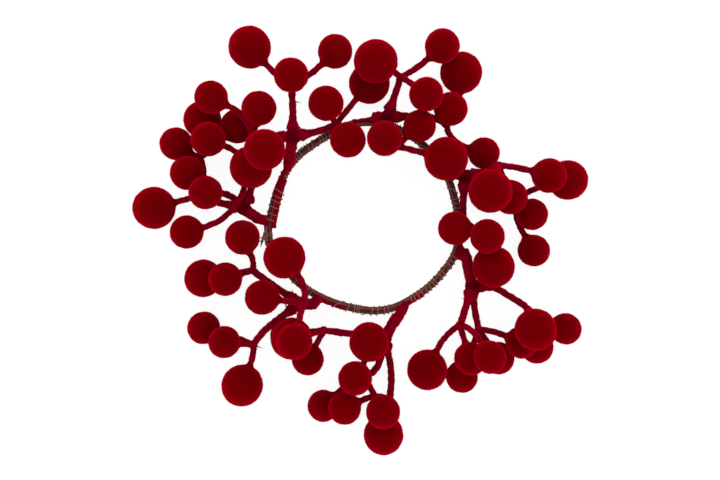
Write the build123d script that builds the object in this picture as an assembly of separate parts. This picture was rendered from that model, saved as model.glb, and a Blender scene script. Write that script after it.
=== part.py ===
from build123d import *
import math
import os

# A candle ring: seven wired sprigs of flocked red berries, bound round a hoop of paper-covered wire.
# Millimetres, +Z up. The origin is on the table, under the middle of the hoop.

# Hoop: three parallel strands, each a steel wire in a brown paper cover, bent to the same loop.
hoop_radius = 45.0
hoop_height = 11.0
strand_wire_diameter = 0.9
strand_diameter = 1.8
paper_clearance = 0.05
strand_clearance = 0.1
paper_end_gap = 1.6
wire_end_gap = 0.8
hoop_bend_share = 0.45
# The loop was bent by hand: the bearing of each corner in degrees, and its distance from the middle.
hoop_corner_shares = [
    (228, 1.03), (255, 1.01), (283, 1.08), (312, 1.06), (338, 1.09), (0, 1.02), (30, 1.01),
    (60, 1.01), (90, 1.02), (118, 0.93), (145, 0.97), (172, 0.97), (195, 1.08),
]

# Binding: one wire for each stretch of hoop between two sprigs, wound round the strands and a tail.
binding_diameter = 0.6
binding_clearance = 0.1
# Where each winding starts and ends, as shares of the way round the hoop, and its turns.
binding_span_shares = {
    1: (0.899, 0.925, 4),
    2: (0.958, 1.090, 6),
    3: (0.126, 0.230, 5),
    4: (0.265, 0.375, 5),
    5: (0.411, 0.494, 4),
    6: (0.530, 0.662, 6),
    7: (0.698, 0.864, 7),
}

# Sprigs: a wire tail that lies along the hoop, then a flocked trunk with three pins at its head.
sprig_length = 50.0
tail_diameter = 1.8
tail_length = 10.0
trunk_diameter = 5.2
trunk_nose_diameter = 3.4
head_diameter = 6.4
collar_diameter = 3.8
collar_reach = 4.4
pin_diameter = 1.6
pin_length = 4.4
seat_clearance = 0.1
# Root on the hoop as a share of the way round, bend and head of the trunk from that root, and the
# length of the taper behind the bend, the last three as shares of the sprig's length.
trunk_place_shares = {
    1: (0.872, (0.09, 0.21, 0.12), (0.13, 0.43, 0.16), 0.10),
    2: (0.948, (-0.10, 0.08, 0.03), (-0.23, 0.17, 0.00), 0.03),
    3: (0.115, (-0.13, -0.04, 0.06), (-0.24, -0.03, 0.08), 0.05),
    4: (0.254, (-0.10, -0.17, 0.02), (-0.19, -0.34, 0.00), 0.09),
    5: (0.400, (0.07, -0.17, 0.04), (0.13, -0.43, -0.01), 0.09),
    6: (0.518, (0.10, -0.02, 0.08), (0.17, -0.04, 0.10), 0.03),
    7: (0.686, (0.11, 0.04, 0.10), (0.20, 0.03, 0.11), 0.05),
}

# Arms: a socket pushed on a pin of the trunk, a stalk, a fork and three twigs with wire ends.
socket_diameter = 4.2
socket_length = 6.0
socket_depth = 5.0
stalk_diameter = 3.2
fork_diameter = 3.8
twig_diameter = 2.8
twig_wire_diameter = 1.0
twig_wire_length = 5.0
# Fork of each arm from the sprig's root, then the bearing and the rise of its pin in degrees.
arm_place_shares = {
    (1, 1): ((0.11, 0.92, 0.14), 90, 0),
    (1, 2): ((0.53, 0.55, 0.10), 12, 0),
    (1, 3): ((-0.24, 0.42, 0.20), 180, 8),
    (2, 1): ((-0.63, 0.33, -0.02), 166, 12),
    (2, 2): ((-0.27, 0.61, -0.12), 75, -22),
    (2, 3): ((-0.685, 0.66, -0.13), 140, -35),
    (3, 1): ((-0.70, 0.28, 0.00), 146, 0),
    (3, 2): ((-0.69, -0.43, 0.00), 215, 10),
    (3, 3): ((-0.19, 0.00, 0.32), 60, 82),
    (4, 1): ((-0.77, -0.26, 0.00), 172, 0),
    (4, 2): ((-0.41, -0.66, -0.04), 256, 27),
    (4, 3): ((-0.14, -0.94, -0.06), 283, -25),
    (5, 1): ((0.01, -0.82, -0.02), 250, 27),
    (5, 2): ((0.20, -0.86, -0.04), 280, -27),
    (5, 3): ((0.66, -0.66, 0.02), 352, -15),
    (6, 1): ((0.16, -0.47, 0.08), 267, 0),
    (6, 2): ((0.49, 0.06, 0.12), 11, 5),
    (6, 3): ((0.68, -0.26, -0.14), 331, -15),
    (7, 1): ((0.33, 0.42, 0.08), 71, 0),
    (7, 2): ((0.77, -0.01, -0.06), 5, -5),
    (7, 3): ((0.29, -0.24, 0.10), 290, 0),
}

# Berries: flocked beads with a short neck, drilled for the wire end of a twig.
large_berry_diameter = 19.0
small_berry_diameter = 15.5
berry_clearance = 0.35
rest_flat_depth = 0.2
neck_length = 1.6
neck_root_diameter = 5.0
neck_diameter = 2.8
wire_clearance = 0.1
# Sprig, arm, kind and layer of each berry, lowest layer first; then its place to the right and back
# of the root, its least height over the table, its size, and the sideways and upward bow of its twig.
berry_place_shares = [
    (1, 1, "large", 1, -0.26, 1.25, 0.48, 1.02, 0.45, 0.20),
    (1, 1, "small", 1, 0.14, 0.96, 0.68, 1.00, 0.00, 0.00),
    (1, 1, "small", 1, 0.53, 1.22, 0.44, 1.02, -0.45, 0.20),
    (1, 2, "large", 1, 0.85, 0.96, 0.00, 1.02, 0.00, 0.10),
    (1, 2, "small", 1, 0.45, 0.72, 0.56, 1.03, 0.00, 0.10),
    (1, 2, "small", 1, 0.65, 0.39, 0.52, 1.05, 0.00, 0.10),
    (1, 3, "large", 2, -0.09, 0.28, 0.76, 0.96, 0.00, 0.00),
    (1, 3, "small", 2, -0.17, 0.68, 0.52, 1.02, 0.00, 0.10),
    (1, 3, "small", 2, -0.61, 0.78, 0.52, 0.98, -0.30, 0.10),
    (2, 1, "large", 1, -1.09, 0.18, 0.24, 1.05, 0.35, 0.10),
    (2, 1, "small", 3, -0.55, 0.32, 0.50, 0.99, 0.00, 0.00),
    (2, 1, "small", 2, -0.76, 0.51, 0.30, 1.03, 0.00, 0.10),
    (2, 2, "large", 1, -0.14, 0.56, 0.42, 1.03, 0.00, 0.00),
    (2, 2, "small", 2, -0.54, 0.82, 0.42, 1.03, 0.00, 0.20),
    (2, 2, "small", 1, -0.77, -0.05, 0.28, 1.01, 0.60, 0.35),
    (2, 3, "large", 1, -0.64, 1.03, 0.00, 0.94, 0.00, 0.00),
    (2, 3, "small", 1, -0.30, 0.96, 0.22, 1.04, 0.00, 0.10),
    (2, 3, "small", 1, -0.90, 0.80, 0.00, 1.00, 0.00, 0.00),
    (3, 1, "large", 1, -1.18, 0.20, 0.00, 0.94, 0.00, -0.20),
    (3, 1, "small", 2, -0.93, 0.21, 0.40, 1.00, 0.00, 0.10),
    (3, 1, "small", 1, -0.77, 0.60, 0.40, 1.03, -0.40, 0.10),
    (3, 2, "large", 1, -0.79, -0.81, 0.28, 1.02, 0.40, 0.10),
    (3, 2, "small", 1, -1.18, -0.28, 0.00, 1.00, 0.00, -0.10),
    (3, 2, "small", 2, -0.94, -0.38, 0.40, 0.95, 0.00, 0.10),
    (3, 3, "large", 1, -0.36, 0.42, 0.58, 1.00, -0.25, 0.10),
    (3, 3, "small", 1, -0.57, 0.05, 0.52, 1.02, 0.00, 0.10),
    (3, 3, "small", 3, -0.25, -0.31, 0.80, 1.02, 0.00, 0.10),
    (4, 1, "large", 2, -1.06, -0.30, 0.46, 1.00, 0.00, 0.10),
    (4, 1, "small", 1, -0.93, -0.55, 0.00, 0.98, 0.00, 0.10),
    (4, 1, "small", 1, -1.14, -0.31, 0.00, 0.97, 0.00, 0.00),
    (4, 2, "large", 1, -0.34, -0.34, 0.44, 0.96, 0.00, 0.00),
    (4, 2, "small", 3, -0.47, -0.67, 0.48, 1.00, 0.00, 0.00),
    (4, 2, "small", 1, -0.78, -1.00, 0.00, 0.97, 0.00, 0.00),
    (4, 3, "large", 1, -0.20, -1.27, 0.00, 0.99, 0.00, 0.00),
    (4, 2, "small", 2, -0.21, -0.99, 0.44, 1.01, 0.00, 0.00),
    (4, 3, "small", 2, -0.57, -0.97, 0.36, 0.98, 0.35, 0.10),
    (5, 1, "large", 2, -0.30, -1.24, 0.22, 1.00, -0.45, 0.10),
    (5, 1, "small", 2, 0.09, -1.10, 0.42, 0.98, 0.00, 0.10),
    (5, 1, "small", 3, 0.23, -1.04, 0.64, 0.94, 0.20, 0.20),
    (5, 2, "small", 2, 0.57, -0.95, 0.40, 0.96, 0.10, 0.10),
    (5, 2, "small", 1, 0.39, -1.14, 0.00, 0.99, 0.00, 0.00),
    (5, 2, "small", 1, 0.04, -1.32, 0.00, 0.98, 0.00, 0.00),
    (5, 3, "large", 3, 0.64, -0.79, 0.68, 0.98, 0.00, 0.00),
    (5, 3, "small", 1, 0.76, -1.03, 0.00, 1.02, 0.00, 0.10),
    (5, 3, "small", 1, 1.03, -0.85, 0.20, 0.95, 0.00, 0.10),
    (6, 1, "large", 1, 0.43, -0.89, 0.41, 1.02, 0.20, -0.10),
    (6, 1, "small", 1, 0.06, -0.53, 0.50, 0.99, 0.00, 0.10),
    (6, 1, "small", 2, 0.34, -0.60, 0.60, 1.00, 0.00, 0.10),
    (6, 2, "large", 3, 0.36, -0.19, 0.66, 1.03, 0.00, 0.10),
    (6, 2, "small", 2, 0.59, -0.24, 0.40, 1.03, 0.00, 0.00),
    (6, 2, "small", 2, 0.94, -0.04, 0.46, 1.03, 0.05, 0.10),
    (6, 3, "large", 1, 1.18, -0.07, 0.00, 0.99, 0.10, 0.00),
    (6, 3, "small", 1, 0.83, -0.40, 0.21, 0.96, 0.00, 0.00),
    (6, 3, "small", 1, 0.86, -0.75, 0.00, 0.98, -0.15, -0.10),
    (7, 1, "large", 2, 0.09, 0.52, 0.54, 1.05, 0.00, 0.10),
    (7, 1, "small", 2, 0.71, 0.68, 0.44, 1.03, -0.10, 0.10),
    (7, 1, "small", 2, 0.55, 0.21, 0.60, 1.00, 0.00, 0.10),
    (7, 2, "large", 1, 0.91, 0.47, 0.24, 1.04, -0.20, 0.00),
    (7, 2, "small", 1, 0.79, 0.10, 0.44, 1.00, 0.00, 0.00),
    (7, 2, "small", 1, 1.14, -0.29, 0.00, 0.97, 0.00, 0.10),
    (7, 3, "large", 1, 0.74, -0.37, 0.52, 1.05, 0.00, 0.10),
    (7, 3, "small", 1, 0.17, -0.19, 0.61, 1.03, 0.00, 0.00),
    (7, 3, "small", 1, 0.50, -0.06, 0.45, 0.96, 0.00, 0.10),
]

# Sizes that follow from the ones above.
slot_offset = (strand_diameter + strand_clearance) / 2
bundle_radius = slot_offset * math.sqrt(2) + strand_diameter / 2
binding_radius = bundle_radius + binding_clearance + binding_diameter / 2
berry_diameters = {"large": large_berry_diameter, "small": small_berry_diameter}
up = Vector(0, 0, 1)


def tube(path, diameter, bore=0):
    """A round bar, or a pipe where a bore is given, swept along a path."""
    section = Circle(diameter / 2)
    if bore:
        section -= Circle(bore / 2)
    start = Plane(origin=path @ 0, z_dir=path % 0)
    return sweep(start * section, path=path)


def bend(start, direction, end):
    """An arc that leaves start in the given direction and ends at end, or a straight run."""
    chord = (end - start).normalized()
    if chord.get_angle(direction) < 1:
        return Line(start, end)
    return TangentArc(start, end, tangent=direction)


def heading(bearing, rise):
    """A unit direction from its bearing and its rise over the horizontal, in degrees."""
    return Vector(1, 0, 0).rotate(Axis.Y, -rise).rotate(Axis.Z, bearing)


def loop_corners(out, lift):
    """Corners of a loop beside the hoop's centre line, and the radius of the wide arc at each."""
    corners = []
    for bearing, share in hoop_corner_shares:
        corners.append(heading(bearing, 0) * (hoop_radius * share + out) + up * (hoop_height + lift))
    radii = []
    for i, corner in enumerate(corners):
        before = corners[i - 1] - corner
        after = corners[(i + 1) % len(corners)] - corner
        turn = math.radians(180 - before.get_angle(after))
        run = min(before.length, after.length)
        radii.append(hoop_bend_share * run / math.tan(turn / 2))
    return corners, radii


def closed_loop(out, lift):
    """A whole loop beside the hoop's centre line."""
    corners, radii = loop_corners(out, lift)
    return FilletPolyline(*corners, radius=radii, close=True)


def open_loop(out, lift, end_gap):
    """A loop beside the hoop's centre line, whose ends stop short of each other by a gap."""
    corners, radii = loop_corners(out, lift)
    middle = (corners[-1] + corners[0]) / 2
    half_gap = (corners[0] - corners[-1]).normalized() * (end_gap / 2)
    return FilletPolyline(middle + half_gap, *corners, middle - half_gap, radius=radii)


centre_line = closed_loop(0, 0)
tail_line = closed_loop(slot_offset, slot_offset)


def loop_frame(loop, share):
    """The point at a share of the way round a loop, the direction there, and the way out."""
    along = loop.tangent_at(share % 1)
    return loop.position_at(share % 1), along, along.cross(up).normalized()


def biarc(start, leaving, end, arriving):
    """Two arcs that join smoothly and carry one direction over to the other."""
    span = end - start
    both = leaving + arriving
    square = 2 * (1 - leaving.dot(arriving))
    half = span.dot(both)
    reach = (math.sqrt(half * half + square * span.dot(span)) - half) / square
    middle = (start + end + (leaving - arriving) * reach) / 2
    first = TangentArc(start, middle, tangent=leaving)
    second = TangentArc(middle, end, tangent=first % 1)
    return [first, second]


def winding_points(span, turns):
    """Quarter turns of a winding on the hoop: each point with the direction of the wire there."""
    first, last = span
    steps = turns * 4
    pitch = (last - first) * centre_line.length / turns
    points = []
    for step in range(steps + 1):
        angle = math.radians(90 * step)
        point, along, out = loop_frame(centre_line, first + (last - first) * step / steps)
        spoke = out * math.cos(angle) + up * math.sin(angle)
        around = up * math.cos(angle) - out * math.sin(angle)
        direction = (around * (2 * math.pi * binding_radius) + along * pitch).normalized()
        points.append((point + spoke * binding_radius, direction))
    return points


def winding_path(points):
    """The wire of a winding: arcs through its quarter turns, with a short straight at each end."""
    first, leaving_first = points[0]
    last, arriving_last = points[-1]
    runs = [Line(first - leaving_first * binding_diameter, first)]
    for (start, leaving), (end, arriving) in zip(points, points[1:]):
        runs += biarc(start, leaving, end, arriving)
    runs.append(Line(last, last + arriving_last * binding_diameter))
    return Wire([run.edge() for run in runs])


def least_self_gap(path, turns):
    """The least gap between neighbouring turns, measured on points along the wire."""
    per_turn = 24
    samples = [path.position_at(i / (turns * per_turn)) for i in range(turns * per_turn + 1)]
    nearest = math.inf
    for i, point in enumerate(samples):
        for other in samples[i + per_turn // 2:]:
            nearest = min(nearest, (point - other).length)
    return nearest - binding_diameter


def trunk_frame(sprig):
    """Where the tail leaves the bundle, the root on the hoop there, and the trunk's bend and head."""
    root_share, bend_share, head_share, nose_share = trunk_place_shares[sprig]
    exit_point, along, out = loop_frame(tail_line, root_share)
    root = exit_point - (out + up) * slot_offset
    bend_point = root + Vector(*bend_share) * sprig_length
    head = root + Vector(*head_share) * sprig_length
    return exit_point, along * -1, root, bend_point, head


def arm_heading(sprig, arm):
    """The direction of an arm's pin on the head of its trunk."""
    fork_share, bearing, rise = arm_place_shares[sprig, arm]
    return heading(bearing, rise)


def make_trunk(sprig):
    """Tail, nose, flocked body and head of a trunk, with a collar and a pin for each arm."""
    exit_point, leaving, root, bend_point, head = trunk_frame(sprig)
    root_share, bend_share, head_share, nose_share = trunk_place_shares[sprig]
    lying = tail_line.trim(root_share, root_share + tail_length / tail_line.length)
    along_body = (head - bend_point).normalized()
    rising = biarc(exit_point, leaving, bend_point, along_body)
    tail = tube(Wire(lying.edges() + [arc.edge() for arc in rising]), tail_diameter)
    body = Plane(origin=bend_point, z_dir=along_body) * post(trunk_diameter, (head - bend_point).length)
    nose = Plane(origin=bend_point, z_dir=along_body * -1) * Cone(
        trunk_diameter / 2,
        trunk_nose_diameter / 2,
        nose_share * sprig_length,
        align=(Align.CENTER, Align.CENTER, Align.MIN),
    )
    knuckle = Plane(origin=head, z_dir=along_body) * Sphere(head_diameter / 2)
    trunk = tail + body + nose + knuckle
    for arm in (1, 2, 3):
        pin_axis = Plane(origin=head, z_dir=arm_heading(sprig, arm))
        trunk += pin_axis * post(collar_diameter, collar_reach)
        trunk += pin_axis * post(pin_diameter, collar_reach + pin_length)
    return trunk


def post(diameter, length):
    """A round post that stands on the plane it is placed on."""
    return Cylinder(diameter / 2, length, align=(Align.CENTER, Align.CENTER, Align.MIN))


def stalk_path(sprig, arm):
    """From the end of the socket to the fork."""
    exit_point, leaving, root, bend_point, head = trunk_frame(sprig)
    direction = arm_heading(sprig, arm)
    fork = root + Vector(*arm_place_shares[sprig, arm][0]) * sprig_length
    start = head + direction * (collar_reach + seat_clearance + socket_length)
    return bend(start, direction, fork)


def settled_height(place, radius, least, laid):
    """The lowest height at which a berry clears the table, the hoop and the ones already laid."""
    floor = max(least, radius - rest_flat_depth)
    level = Vector(place.X, place.Y, hoop_height)
    beside = centre_line.distance_to(level)
    over_hoop = radius + binding_radius + binding_diameter / 2 + berry_clearance
    if beside < over_hoop:
        floor = max(floor, hoop_height + math.sqrt(over_hoop ** 2 - beside ** 2))
    heights = [floor]
    for other, other_radius in laid:
        apart = math.hypot(place.X - other.X, place.Y - other.Y)
        reach = radius + other_radius + berry_clearance
        if apart < reach:
            heights.append(other.Z + math.sqrt(reach * reach - apart * apart))
    for height in sorted(heights):
        centre = Vector(place.X, place.Y, height)
        clear = all((centre - other).length > radius + size + berry_clearance * 0.99 for other, size in laid)
        if clear and height >= floor:
            return height


def lay_berries():
    """The centre and radius of every berry, stacked in layers as they lie on each other."""
    laid = {}
    for layer in (1, 2, 3):
        for number, row in enumerate(berry_place_shares):
            sprig, arm, kind, berry_layer, right, back, least, size, side_bow, up_bow = row
            if berry_layer != layer:
                continue
            root = trunk_frame(sprig)[2]
            place = root + Vector(right, back, 0) * sprig_length
            radius = berry_diameters[kind] / 2 * size
            height = settled_height(place, radius, least * sprig_length, laid.values())
            laid[number] = (Vector(place.X, place.Y, height), radius)
    return laid


berries = lay_berries()


def berry_heading(number):
    """The direction in which a twig runs into its berry, from the fork and the twig's bow."""
    sprig, arm, kind, layer, right, back, least, size, side_bow, up_bow = berry_place_shares[number]
    stalk = stalk_path(sprig, arm)
    straight = (berries[number][0] - (stalk @ 1)).normalized()
    side = up.cross(straight)
    if side.length < 0.05:
        side = up.cross(stalk % 1)
    side = side.normalized()
    bow = side * side_bow + straight.cross(side) * up_bow
    return straight * math.sqrt(1 - bow.dot(bow)) - bow


def make_berry(number):
    """A bead with its neck and blind bore, cut flat where it rests on the table."""
    centre, radius = berries[number]
    towards_twig = Plane(origin=centre, z_dir=berry_heading(number) * -1)
    neck_root = math.sqrt(radius ** 2 - (neck_root_diameter / 2) ** 2)
    neck_top = radius + neck_length
    neck = Pos(0, 0, neck_root) * Cone(
        neck_root_diameter / 2,
        neck_diameter / 2,
        neck_top - neck_root,
        align=(Align.CENTER, Align.CENTER, Align.MIN),
    )
    bore_depth = twig_wire_length + wire_clearance
    bore = Pos(0, 0, neck_top - bore_depth) * post(twig_wire_diameter + 2 * wire_clearance, bore_depth)
    berry = towards_twig * (Sphere(radius) + neck - bore)
    table = Box(2 * radius, 2 * radius, 2 * radius, align=(Align.CENTER, Align.CENTER, Align.MAX))
    return berry - Pos(centre.X, centre.Y, 0) * table


def make_twig(number, fork):
    """A twig from the fork to the neck of its berry, with the wire that goes into the bead."""
    centre, radius = berries[number]
    direction = berry_heading(number)
    end = centre - direction * (radius + neck_length + seat_clearance)
    twig = tube(bend(end, direction * -1, fork), twig_diameter)
    wire_axis = Plane(origin=end, z_dir=direction)
    return twig + wire_axis * post(twig_wire_diameter, twig_wire_length)


def make_arm(sprig, arm):
    """Socket, stalk, fork and twigs of one arm."""
    exit_point, leaving, root, bend_point, head = trunk_frame(sprig)
    direction = arm_heading(sprig, arm)
    stalk = stalk_path(sprig, arm)
    mouth = Plane(origin=head + direction * (collar_reach + seat_clearance), z_dir=direction)
    socket = mouth * Cone(
        socket_diameter / 2,
        stalk_diameter / 2,
        socket_length,
        align=(Align.CENTER, Align.CENTER, Align.MIN),
    )
    fork = Plane(origin=stalk @ 1, z_dir=stalk % 1) * Sphere(fork_diameter / 2)
    piece = socket + tube(stalk, stalk_diameter) + fork
    for number, row in enumerate(berry_place_shares):
        if row[:2] == (sprig, arm):
            piece += make_twig(number, stalk @ 1)
    return piece - mouth * post(pin_diameter + 2 * seat_clearance, socket_depth)


def write(name, shape):
    """One STEP file for one named piece or set of like pieces."""
    export_step(shape, "parts/" + name + ".step")


def write_hoop():
    """The wire and the paper cover of each strand, in three of the four slots of the bundle."""
    slots = [(-slot_offset, slot_offset), (-slot_offset, -slot_offset), (slot_offset, -slot_offset)]
    for number, (out, lift) in enumerate(slots, start=1):
        write(f"hoop_wire_{number}", tube(open_loop(out, lift, wire_end_gap), strand_wire_diameter))
        cover_bore = strand_wire_diameter + 2 * paper_clearance
        cover = tube(open_loop(out, lift, paper_end_gap), strand_diameter, cover_bore)
        write(f"hoop_paper_{number}", cover)


def write_bindings():
    """The windings, each with its least gap to itself."""
    for number, (first, last, turns) in binding_span_shares.items():
        path = winding_path(winding_points((first, last), turns))
        print(f"binding_wire_{number} least gap to itself {least_self_gap(path, turns):.2f} mm")
        write(f"binding_wire_{number}", tube(path, binding_diameter))


def write_sprig(sprig):
    """Trunk, three arms, and the large and the small berries of one sprig."""
    write(f"sprig_{sprig}_trunk", make_trunk(sprig))
    for arm in (1, 2, 3):
        write(f"sprig_{sprig}_arm_{arm}", make_arm(sprig, arm))
    for kind in ("large", "small"):
        group = []
        for number, row in enumerate(berry_place_shares):
            if row[0] == sprig and row[2] == kind:
                group.append(make_berry(number).solid())
        write(f"sprig_{sprig}_{kind}_berries", Compound(children=group))


os.makedirs("parts", exist_ok=True)
write_hoop()
write_bindings()
for sprig in trunk_place_shares:
    write_sprig(sprig)
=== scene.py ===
# %% [markdown]
# # A candle ring of flocked berries
# Seven wired sprigs of velvety red berries are bound round a hoop of paper-covered wire.
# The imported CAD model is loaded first, because it says where every piece is. Everything
# here is in metres and in the model's own frame, so nothing has to be moved into place.

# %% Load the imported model
import math

import bpy
import numpy as np
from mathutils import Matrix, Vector, kdtree


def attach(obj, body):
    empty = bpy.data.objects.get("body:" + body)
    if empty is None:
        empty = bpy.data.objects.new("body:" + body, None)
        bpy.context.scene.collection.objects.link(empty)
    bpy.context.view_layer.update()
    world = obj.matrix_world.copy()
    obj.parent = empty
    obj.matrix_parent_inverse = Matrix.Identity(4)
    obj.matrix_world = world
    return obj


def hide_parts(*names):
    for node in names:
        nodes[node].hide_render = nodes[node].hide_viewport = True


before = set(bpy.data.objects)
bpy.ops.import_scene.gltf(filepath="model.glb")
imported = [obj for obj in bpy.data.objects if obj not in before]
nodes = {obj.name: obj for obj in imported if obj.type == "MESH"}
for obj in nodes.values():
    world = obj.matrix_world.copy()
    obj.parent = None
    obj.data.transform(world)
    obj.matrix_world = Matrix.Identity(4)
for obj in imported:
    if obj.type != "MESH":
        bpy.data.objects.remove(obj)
scene = bpy.context.scene
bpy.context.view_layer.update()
mm = 0.001
sprigs = range(1, 8)
arms = range(1, 4)
strands = range(1, 4)

# %% [markdown]
# ## The camera
# The ring was photographed from about 40 cm straight above. The hoop isn't quite in the
# middle of the picture, so the lens is shifted, not turned: the view stays square.

# %% Camera straight above the hoop
def new_object(name, data):
    """An object in the scene that carries some data."""
    made = bpy.data.objects.new(name, data)
    scene.collection.objects.link(made)
    return made


camera_height = 411 * mm
photo_width = 720
focal_pixels = 835.6
hoop_right_pixels = 3.5
hoop_up_pixels = 25.5
camera_data = bpy.data.cameras.new("camera")
camera_data.sensor_width = 36
camera_data.lens = camera_data.sensor_width * focal_pixels / photo_width
camera_data.shift_x = -hoop_right_pixels / photo_width
camera_data.shift_y = -hoop_up_pixels / photo_width
camera_data.clip_start = 10 * mm
camera_data.clip_end = 10
camera = new_object("camera", camera_data)
camera.location = (0, 0, camera_height)
scene.camera = camera
scene.view_settings.view_transform = "Standard"
print("lens", round(camera_data.lens, 2), "mm")

# %% [markdown]
# ## Small helpers for node trees
# Every material and every Geometry Nodes tree below is built from the same few calls: one
# adds a node and sets or links its sockets, some do one common step, and one opens a new
# tree with named inputs. A value that is a socket is linked, any other value is written in.


# %% Helpers for node trees
def put(tree, kind, settings=None, **sockets):
    """Adds a node, sets or links its inputs by name or by number, and gives its outputs."""
    made = tree.nodes.new(kind)
    for key, value in (settings or {}).items():
        setattr(made, key, value)
    for key, value in sockets.items():
        name = int(key[1:]) if key[0] == "i" and key[1:].isdigit() else key.replace("_", " ")
        socket = made.inputs[name]
        if isinstance(value, bpy.types.NodeSocket):
            tree.links.new(value, socket)
        else:
            socket.default_value = value
    return made.outputs


def reckon(tree, operation, first, second=0.0, third=0.0):
    """One step of arithmetic on numbers."""
    how = {"operation": operation}
    return put(tree, "ShaderNodeMath", how, i0=first, i1=second, i2=third)[0]


def steer(tree, operation, first, second=(0, 0, 0)):
    """One step of arithmetic on vectors."""
    how = {"operation": operation}
    given = {"Scale": second} if operation == "SCALE" else {"i1": second}
    return put(tree, "ShaderNodeVectorMath", how, i0=first, **given)[0]


def open_tree(name, kind, inputs, outputs):
    """A node group with named sockets, and its input and output nodes."""
    tree = bpy.data.node_groups.new(name, kind)
    for label, socket in outputs:
        tree.interface.new_socket(label, in_out="OUTPUT", socket_type=socket)
    for label, socket in inputs:
        tree.interface.new_socket(label, in_out="INPUT", socket_type=socket)
    return tree, tree.nodes.new("NodeGroupInput").outputs, tree.nodes.new("NodeGroupOutput").inputs


def sockets_of(kind, *labels):
    """The sockets of a new tree that are of one kind, by name."""
    return [(label, "NodeSocket" + kind) for label in labels]


def noise(tree, place, scale, detail, **more):
    """A number that changes softly from place to place."""
    return put(tree, "ShaderNodeTexNoise", Vector=place, Scale=scale, Detail=detail, **more)[0]


# %% [markdown]
# ## Effects that several materials share
# Dyed flock, wound paper and lacquered wire all have an uneven colour and a fine nap. One
# group mottles a colour, and one makes a fuzzy surface. Both are built once, and each
# material places them with its own values.


# %% Shared shader groups
def make_mottle():
    """Mixes a main colour with a second one in soft patches and in fine specks."""
    colours = sockets_of("Color", "Main", "Patch", "Speck")
    numbers = sockets_of("Float", "Patch Scale", "Speck Scale", "Patch Share", "Speck Share")
    out = sockets_of("Color", "Colour")
    tree, given, result = open_tree("mottle", "ShaderNodeTree", colours + numbers, out)
    place = put(tree, "ShaderNodeTexCoord")["Object"]
    colour = {"data_type": "RGBA"}
    mixed = given["Main"]
    # Of each kind of spot: the detail of its noise, and between which values it comes in.
    for spot, detail, low, high in (("Patch", 3.0, 0.4, 0.65), ("Speck", 2.0, 0.5, 0.75)):
        cloud = noise(tree, place, given[spot + " Scale"], detail)
        mask = put(tree, "ShaderNodeMapRange", Value=cloud, From_Min=low, From_Max=high)[0]
        part = reckon(tree, "MULTIPLY", mask, given[spot + " Share"])
        mixed = put(tree, "ShaderNodeMix", colour, i0=part, i6=mixed, i7=given[spot])[2]
    tree.links.new(mixed, result["Colour"])
    return tree


def make_nap():
    """A fuzzy surface: fine bumps, as a normal."""
    numbers = sockets_of("Float", "Scale", "Height", "Strength")
    out = sockets_of("Vector", "Normal")
    tree, given, result = open_tree("nap", "ShaderNodeTree", numbers, out)
    place = put(tree, "ShaderNodeTexCoord")["Object"]
    fine = noise(tree, place, given["Scale"], 3.0, Roughness=0.6)
    sizes = {"Strength": given["Strength"], "Distance": given["Height"]}
    tree.links.new(put(tree, "ShaderNodeBump", Height=fine, **sizes)[0], result["Normal"])
    return tree


mottle = make_mottle()
nap = make_nap()
print("shared groups", mottle.name, nap.name)

# %% [markdown]
# ## The finishes
# Flock is a coat of short nylon fibres. It is dark where you look along the fibres and
# light where you look across them, so its edge glows. The sheen of the Principled shader
# does that. Paper and lacquered wire are plainer: an uneven brown with a soft or a sharper
# gloss. Two finishes also get painted shade: the paper is darker along the step of each lap,
# and the flocked stems are darker round the head of each trunk.


# %% Helper for a finish
def finish_of(name, colours, scales, shares, fuzz, sockets):
    """A material with its colour from the mottle group and its surface from the nap group."""
    material = bpy.data.materials.new(name)
    material.use_nodes = True
    tree = material.node_tree
    shader = tree.nodes["Principled BSDF"].inputs
    mottled = {label: (*value, 1) for label, value in zip(("Main", "Patch", "Speck"), colours)}
    for label, scale, share in zip(("Patch", "Speck"), scales, shares):
        mottled[label + " Scale"], mottled[label + " Share"] = scale, share
    colour = put(tree, "ShaderNodeGroup", {"node_tree": mottle}, **mottled)
    fuzzy = dict(zip(("Scale", "Height", "Strength"), fuzz))
    normal = put(tree, "ShaderNodeGroup", {"node_tree": nap}, **fuzzy)
    tree.links.new(colour["Colour"], shader["Base Color"])
    tree.links.new(normal["Normal"], shader["Normal"])
    for label, value in sockets.items():
        shader[label].default_value = value
    return material


def shade_between(material, attribute, colour, low, high):
    """Brings in a second colour where a piece's own attribute runs from low to high."""
    tree = material.node_tree
    base = tree.nodes["Principled BSDF"].inputs["Base Color"]
    before = base.links[0].from_socket
    mask = put(tree, "ShaderNodeAttribute", {"attribute_name": attribute})["Fac"]
    share = put(tree, "ShaderNodeMapRange", Value=mask, From_Min=low, From_Max=high)[0]
    after = (*colour, 1)
    mixed = put(tree, "ShaderNodeMix", {"data_type": "RGBA"}, i0=share, i6=before, i7=after)
    tree.links.new(mixed[2], base)


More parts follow.
